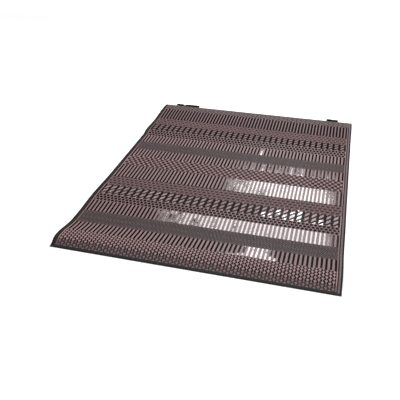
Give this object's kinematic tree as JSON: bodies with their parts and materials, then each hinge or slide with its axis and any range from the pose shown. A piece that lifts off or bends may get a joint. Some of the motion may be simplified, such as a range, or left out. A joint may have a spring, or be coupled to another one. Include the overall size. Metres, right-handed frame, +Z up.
{
  "type": "outdoor rug",
  "caption": "Oblong rug woven from flat plastic straw in bands of stripes, dots and braid, with folded edge tape, low humps at both ends and webbing carry loops behind the far edge.",
  "frame": {"origin": "on the floor, below the middle of the whole rug with its carry loops", "axes": "+X across the width to the right as seen in the picture, +Y along the length away from the front edge, +Z up"},
  "size_m": [2, 2.7343, 0.0375],
  "materials": {
    "straw_weave": "woven, satin",
    "edge_tape": "woven, matt",
    "loop_webbing": "woven, matt"
  },
  "bodies": {
    "root": {"mat": "straw_weave", "binding_left": "edge_tape", "binding_right": "edge_tape", "binding_front": "edge_tape", "binding_far": "edge_tape", "carry_loop_left": "loop_webbing", "carry_loop_right": "loop_webbing"}
  },
  "joints": []
}
